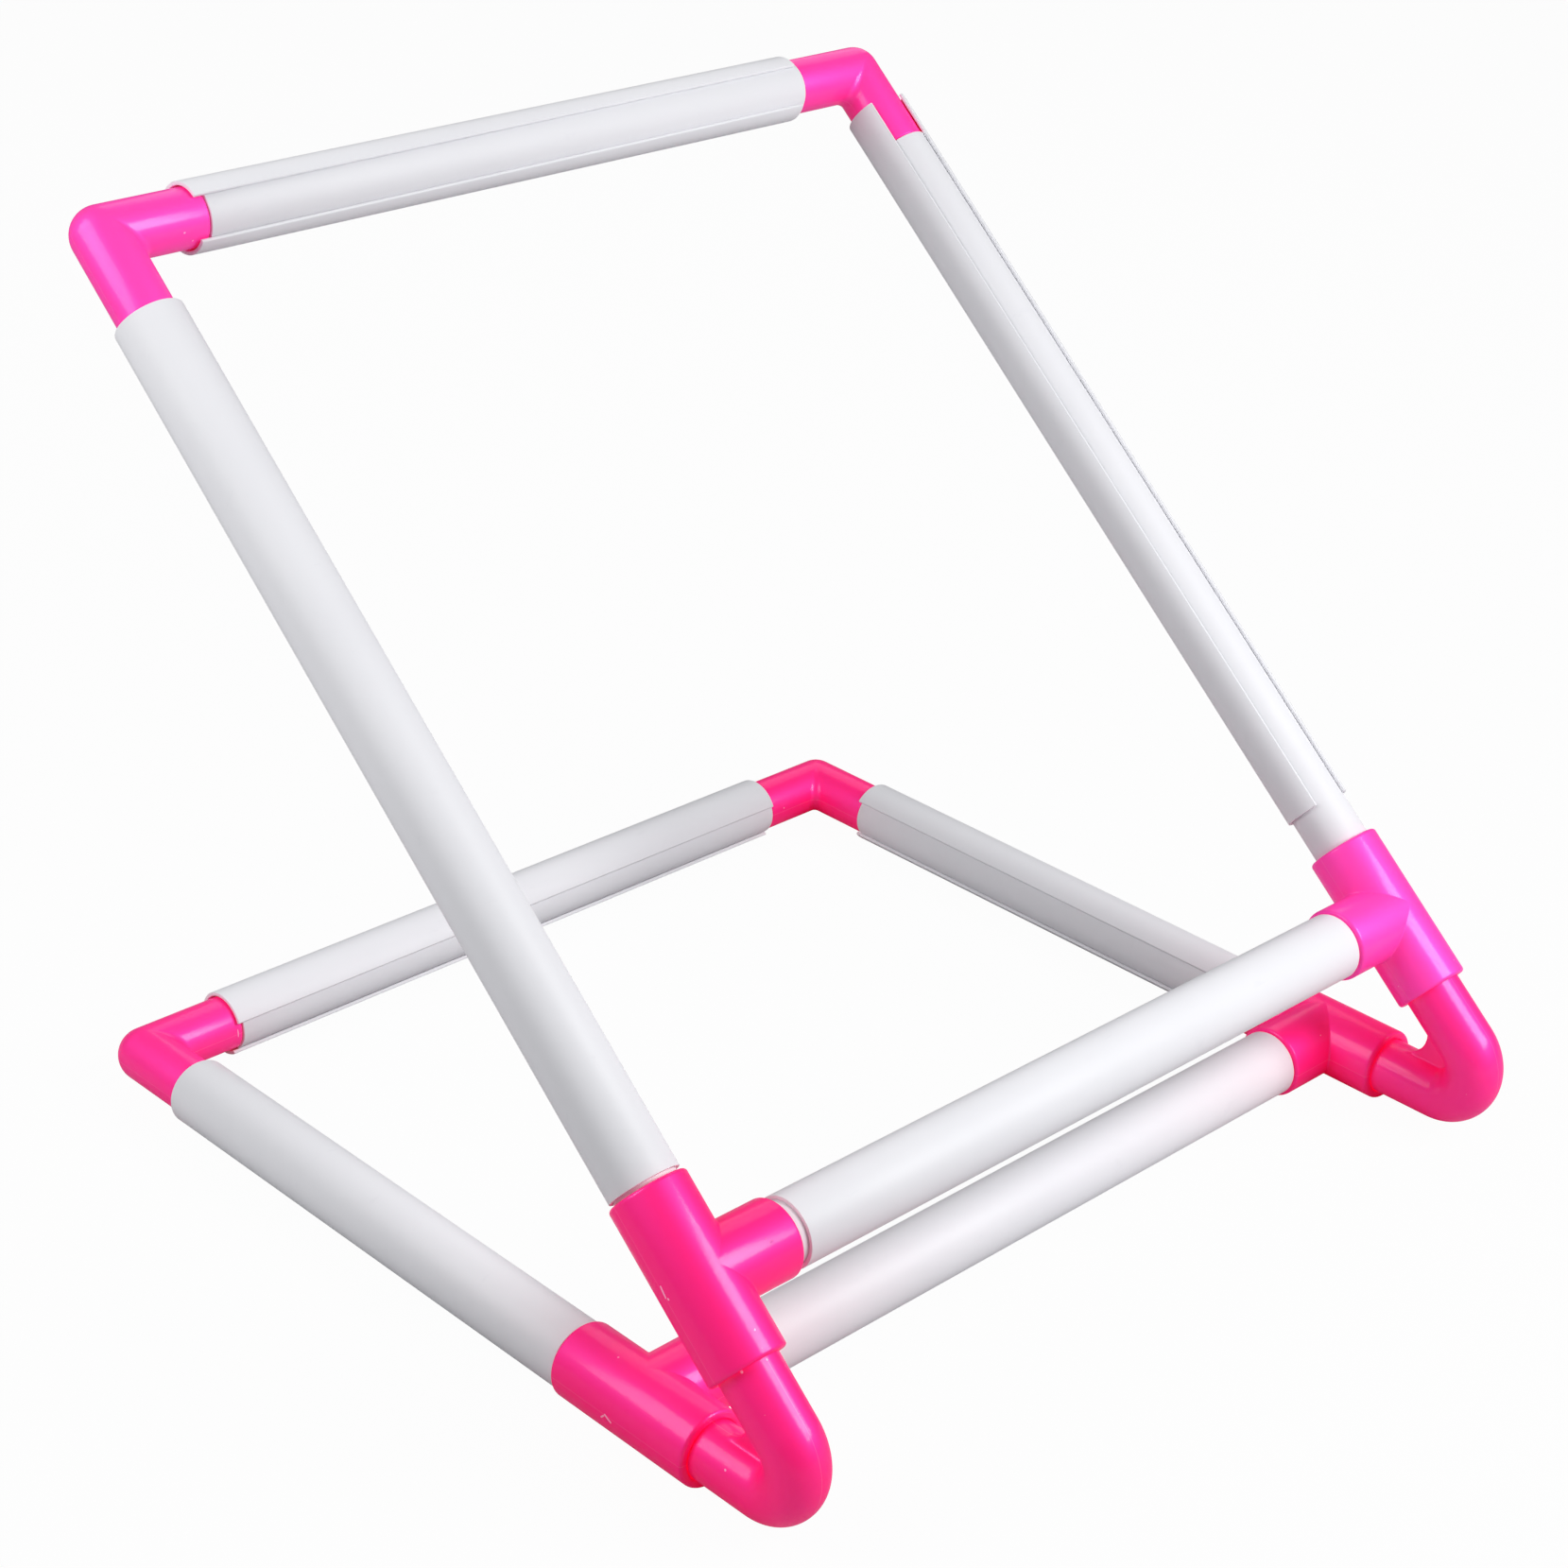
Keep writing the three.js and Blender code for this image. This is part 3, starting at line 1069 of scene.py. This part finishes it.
CLIP_SEATS = {
    "top_clip": ClipSeat(-3.7 * MM, 2 * MM, 126, -8.5),
    "bottom_clip": ClipSeat(3.6 * MM, 0.5 * MM, 280),
    "left_clip": ClipSeat(1.2 * MM, -2 * MM, 278),
    "right_clip": ClipSeat(15.7 * MM, -16 * MM, 98),
    "rear_base_clip": ClipSeat(-2 * MM, 0.5 * MM, 195),
    "front_base_clip": ClipSeat(4 * MM, 0.4 * MM, 300),
    "left_base_clip": ClipSeat(0.4 * MM, -2 * MM, 300),
    "right_base_clip": ClipSeat(0.5 * MM, -0.5 * MM, 178),
}

# Painted shade on each moulding: how far its pink is mixed from the lit pink towards the deep pink
# of shade, 0 the lightest and 1 the deepest
PAINTED_SHADE_BY_FITTING = {
    "top_left_elbow": 0.05,
    "top_right_elbow": 0.36,
    "rear_left_elbow": 0.69,
    "rear_right_elbow": 1.0,
    "upper_left_tee": 1.0,
    "upper_right_tee": 0.05,
    "base_left_tee": 0.95,
    "base_right_tee": 0.95,
    "left_hairpin": 1.0,
    "right_hairpin": 0.8,
}


@dataclass
class Workshop:
    """Builds each kind of piece once and dresses every copy of it."""

    sizes: StandSizes = StandSizes()
    tube: Tube = Tube()
    clip: Clip = Clip()
    elbow: Elbow = Elbow()
    tee: Tee = Tee()
    hairpin: Hairpin = Hairpin()
    finishes: dict[Slot, bpy.types.Material] = field(init=False)
    elbow_pattern: bpy.types.Object = field(init=False)
    tee_pattern: bpy.types.Object = field(init=False)

    def __post_init__(self) -> None:
        """Makes the finishes and the two moulded patterns."""
        self.finishes = {slot: finish.material() for slot, finish in FINISHES.items()}
        self.elbow_pattern = self.elbow.build()
        self.tee_pattern = self.tee.build()

    def dress(self, piece: bpy.types.Object, node: str, slot: Slot, place: Matrix) -> None:
        """Names a piece, notes its painted shade of pink and where it was made, places and finishes
        it.

        Args:
            piece: the piece as it was made, at the origin.
            node: the CAD node that it stands for.
            slot: the material slot.
            place: where it goes.
        """
        piece.name = f"fine_{node}"
        mesh = piece.data
        made = mesh.attributes.new(MADE_AT, "FLOAT_VECTOR", "POINT")
        coordinates = [component for vertex in mesh.vertices for component in vertex.co]
        made.data.foreach_set("vector", coordinates)
        # Each vertex carries its moulding's painted shade, and pieces that are no moulding carry
        # none
        depth = mesh.attributes.new(PAINTED_SHADE, "FLOAT", "POINT")
        depth.data.foreach_set("value", [PAINTED_SHADE_BY_FITTING.get(node, 0.0)] * len(mesh.vertices))
        mesh.transform(place)
        mesh.materials.clear()
        mesh.materials.append(self.finishes[slot])
        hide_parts(node)
        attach(piece, node if slot is Slot.CLIP else "stand")
        log.info("%s: %d faces", piece.name, len(mesh.polygons))

    def copy_of(self, pattern: bpy.types.Object) -> bpy.types.Object:
        """Copies a pattern, mesh and all.

        Args:
            pattern: the piece to copy.

        Returns:
            The copy.
        """
        piece = pattern.copy()
        piece.data = pattern.data.copy()
        bpy.context.scene.collection.objects.link(piece)
        return piece


@dataclass(frozen=True)
class FrameNames:
    """The CAD nodes of one frame: a tube and its clip on each line, and fittings left and right."""

    near: Pair
    far: Pair
    sides: tuple[Pair, Pair]
    elbows: Pair
    tees: Pair


BASE_NAMES = FrameNames(
    near=("front_base_tube", "front_base_clip"),
    far=("rear_base_tube", "rear_base_clip"),
    sides=(("left_base_tube", "left_base_clip"), ("right_base_tube", "right_base_clip")),
    elbows=("rear_left_elbow", "rear_right_elbow"),
    tees=("base_left_tee", "base_right_tee"),
)
WORKING_NAMES = FrameNames(
    near=("bottom_tube", "bottom_clip"),
    far=("top_tube", "top_clip"),
    sides=(("left_side_tube", "left_clip"), ("right_side_tube", "right_clip")),
    elbows=("top_left_elbow", "top_right_elbow"),
    tees=("upper_left_tee", "upper_right_tee"),
)


@dataclass(frozen=True)
class TubeFrame:
    """One rectangular frame: two rails, two sides, and their fittings and clips."""

    shop: Workshop
    names: FrameNames
    depth: float
    place: Matrix

    def lying(self, axis: Axis, at: float, start: float) -> Matrix:
        """Gives the place in the stand of a piece that is made along +Y.

        Args:
            axis: whether it lies across the frame or up it.
            at: the place of its axis up the frame, for a rail, or across it, for a side.
            start: where it starts along its own axis.

        Returns:
            The place.
        """
        if axis is Axis.RAIL:
            turn = Matrix.Rotation(-QUARTER_TURN, 4, "Z")
            return self.place @ Matrix.Translation((start, at, 0)) @ turn
        return self.place @ Matrix.Translation((at, start, 0))

    def add_member(self, nodes: Pair, axis: Axis, at: float, stops: Span, mouths: Span) -> None:
        """Adds a tube and its clip.

        Args:
            nodes: the CAD nodes of the tube and of the clip.
            axis: whether they lie across the frame or up it.
            at: the place of their axis up the frame, for a rail, or across it, for a side.
            stops: where the fittings stop the tube.
            mouths: where the fittings end, between which the clip sits.
        """
        shop, (tube_node, clip_node) = self.shop, nodes
        gap, seat = shop.sizes.seat_gap, CLIP_SEATS[clip_node]
        tube = shop.tube.build(stops[1] - stops[0] - 2 * gap)
        shop.dress(tube, tube_node, Slot.TUBE, self.lying(axis, at, stops[0] + gap))
        begin = mouths[0] + seat.start_gap
        sense = 1 if axis is Axis.RAIL else -1
        twist = sense * math.radians(seat.twist)
        clip = shop.clip.build(mouths[1] - seat.end_gap - begin, twist)
        from_x = seat.mouth - 180 if axis is Axis.RAIL else -seat.mouth
        turn = Matrix.Rotation(math.radians(from_x), 4, "Y")
        shop.dress(clip, clip_node, Slot.CLIP, self.lying(axis, at, begin) @ turn)

    def build(self) -> None:
        """Makes every piece of this frame."""
        shop, names = self.shop, self.names
        width, setback = shop.sizes.width, shop.sizes.rail_setback
        tee, shoulder = shop.tee, shop.elbow.reach
        stops = (tee.branch_stop, width - tee.branch_stop)
        mouths = (tee.branch_reach, width - tee.branch_reach)
        self.add_member(names.near, Axis.RAIL, setback, stops, mouths)
        shoulders = (shoulder, width - shoulder)
        self.add_member(names.far, Axis.RAIL, self.depth, shoulders, shoulders)
        stops = (setback + tee.stop_offset, self.depth - shoulder)
        mouths = (setback + tee.run_length / 2, self.depth - shoulder)
        for i, (across, elbow_turn) in enumerate(((0.0, -QUARTER_TURN), (width, math.pi))):
            self.add_member(names.sides[i], Axis.SIDE, across, stops, mouths)
            corner = self.place @ Matrix.Translation((across, self.depth, 0))
            corner = corner @ Matrix.Rotation(elbow_turn, 4, "Z")
            shop.dress(shop.copy_of(shop.elbow_pattern), names.elbows[i], Slot.FITTING, corner)
            crossing = self.place @ Matrix.Translation((across, setback, 0))
            crossing = crossing @ Matrix.Rotation(i * math.pi, 4, "Y")
            shop.dress(shop.copy_of(shop.tee_pattern), names.tees[i], Slot.FITTING, crossing)


@dataclass(frozen=True)
class Stand:
    """The whole stand: base frame, working frame and hairpins."""

    shop: Workshop

    def origin(self) -> Matrix:
        """Finds the left front corner, where the axes of the two frames' left sides cross.

        Returns:
            The corner's place.
        """
        shop = self.shop
        lead = shop.hairpin.bend / math.tan(shop.sizes.slope / 2)
        front = lead - shop.hairpin.bend - shop.hairpin.radius
        rear = shop.sizes.base_depth + shop.clip.inner + shop.clip.wall
        return Matrix.Translation((-shop.sizes.width / 2, -(front + rear) / 2, shop.tee.radius))

    def build(self) -> None:
        """Makes every piece of the stand."""
        shop, sizes = self.shop, self.shop.sizes
        origin = self.origin()
        TubeFrame(shop, BASE_NAMES, sizes.base_depth, origin).build()
        raised = origin @ Matrix.Rotation(sizes.slope, 4, "X")
        TubeFrame(shop, WORKING_NAMES, sizes.slope_length, raised).build()
        self.add_hairpins(origin)
        discard(shop.elbow_pattern)
        discard(shop.tee_pattern)

    def add_hairpins(self, origin: Matrix) -> None:
        """Makes the two hairpins that join the frames.

        Args:
            origin: the place of the left front corner.
        """
        shop, sizes = self.shop, self.shop.sizes
        to_bend = shop.hairpin.bend / math.tan(sizes.slope / 2)
        lead = sizes.rail_setback - shop.tee.stop_offset - sizes.seat_gap - to_bend
        upright = Matrix.Rotation(QUARTER_TURN, 4, "X") @ Matrix.Rotation(-QUARTER_TURN, 4, "Y")
        for node, across in (("left_hairpin", 0.0), ("right_hairpin", sizes.width)):
            piece = shop.hairpin.build(lead, math.pi - sizes.slope)
            place = origin @ Matrix.Translation((across, to_bend, 0)) @ upright
            shop.dress(piece, node, Slot.FITTING, place)


# Studio


@dataclass(frozen=True)
class Lamp:
    """A soft square lamp."""

    name: str
    place: Triple
    size: float
    power: float

    def build(self) -> None:
        """Adds the lamp, turned towards the stand's middle."""
        data = bpy.data.lights.new(self.name, "AREA")
        data.shape = "SQUARE"
        data.size = self.size
        data.energy = self.power
        lamp = bpy.data.objects.new(self.name, data)
        lamp.visible_camera = False
        way = Vector(STAND_MIDDLE) - Vector(self.place)
        turn = way.to_track_quat("-Z", "Y").to_matrix().to_4x4()
        lamp.matrix_world = Matrix.Translation(self.place) @ turn
        bpy.context.scene.collection.objects.link(lamp)


@dataclass(frozen=True)
class Studio:
    """A pale floor, soft lamps and the camera at the photograph's angle."""

    lamps: tuple[Lamp, ...] = (
        Lamp("right_softbox", (0.42, -0.86, 0.80), 0.6, 12.1),
        Lamp("left_softbox", (-0.75, 0.30, 0.70), 0.6, 4.9),
        Lamp("rear_fill", (0.75, 0.78, 0.88), 0.8, 2.3),
    )
    world_colour: Colour = (0.97, 0.98, 1.0, 1)
    world_strength: float = 0.175
    floor_size: float = 12.0
    floor_colours: tuple[Colour, Colour] = ((0.49, 0.49, 0.50, 1), (0.51, 0.51, 0.52, 1))
    floor_clouds: float = 3.0
    floor_white: float = 0.97

    def build(self) -> None:
        """Makes the lamps, the world, the floor and the camera."""
        for lamp in self.lamps:
            lamp.build()
        self.add_world()
        self.add_floor()
        Camera().build()
        bpy.context.scene.view_settings.view_transform = "Standard"

    def add_world(self) -> None:
        """Lights the scene with a plain pale world, which the camera sees as white."""
        world = bpy.data.worlds.new("studio")
        bpy.context.scene.world = world
        tree = ShaderTree(world)
        inputs = {"Color": self.world_colour, "Strength": self.world_strength}
        lit = tree.node("ShaderNodeBackground", {}, inputs)
        white = tree.node("ShaderNodeBackground", {}, {"Color": WHITE})
        seen = tree.seen_directly()
        mix = tree.node("ShaderNodeMixShader", {}, {0: seen, 1: lit, 2: white})
        tree.surface(mix, "ShaderNodeOutputWorld")

    def add_floor(self) -> None:
        """Adds a white floor that the camera sees as almost pure white, with a faint shadow."""
        deselect_everything()
        bpy.ops.mesh.primitive_plane_add(size=self.floor_size)
        floor = bpy.context.object
        floor.name = "studio_floor"
        tree = ShaderTree(bpy.data.materials.new("studio_floor"))
        pale = tree.mixed(tree.noise(tree.place(), self.floor_clouds), *self.floor_colours)
        plain = tree.node("ShaderNodeBsdfDiffuse", {}, {"Color": pale})
        glow = tree.node("ShaderNodeEmission", {}, {"Color": WHITE, "Strength": 1.0})
        seen = tree.seen_directly() * self.floor_white
        tree.surface(tree.node("ShaderNodeMixShader", {}, {0: seen, 1: plain, 2: glow}))
        floor.data.materials.append(tree.owner)


@dataclass(frozen=True)
class Camera:
    """The photograph's camera, solved from its edges: metres, radians, and pixels of its frame.

    The sensor is in millimetres, as Blender's lens is.
    """

    place: Triple = (-672.848 * MM, -660.912 * MM, 598.067 * MM)
    azimuth: float = -0.7825047
    elevation: float = 0.4656927
    roll: float = -0.0377534
    focal_pixels: float = 3445.08
    frame_pixels: float = 1659.0
    sensor: float = 36.0
    nearest: float = 0.01
    furthest: float = 50.0

    def build(self) -> None:
        """Adds the camera and makes it the scene's own."""
        data = bpy.data.cameras.new("photo_camera")
        data.sensor_fit = "HORIZONTAL"
        data.sensor_width = self.sensor
        data.lens = self.sensor * self.focal_pixels / self.frame_pixels
        data.clip_start = self.nearest
        data.clip_end = self.furthest
        az, el = self.azimuth, self.elevation
        ahead = Vector((-math.sin(az) * math.cos(el), math.cos(az) * math.cos(el), -math.sin(el)))
        level = Vector((math.cos(az), math.sin(az), 0))
        down = ahead.cross(level)
        right = level * math.cos(self.roll) + down * math.sin(self.roll)
        below = down * math.cos(self.roll) - level * math.sin(self.roll)
        camera = bpy.data.objects.new("photo_camera", data)
        turn = Matrix((right, -below, -ahead)).transposed()
        camera.matrix_world = Matrix.Translation(self.place) @ turn.to_4x4()
        bpy.context.scene.collection.objects.link(camera)
        bpy.context.scene.camera = camera


def main() -> None:
    """Builds the stand and the studio."""
    logging.basicConfig(level=logging.INFO, format="%(message)s")
    Stand(Workshop()).build()
    Studio().build()


if __name__ == "__main__":
    main()
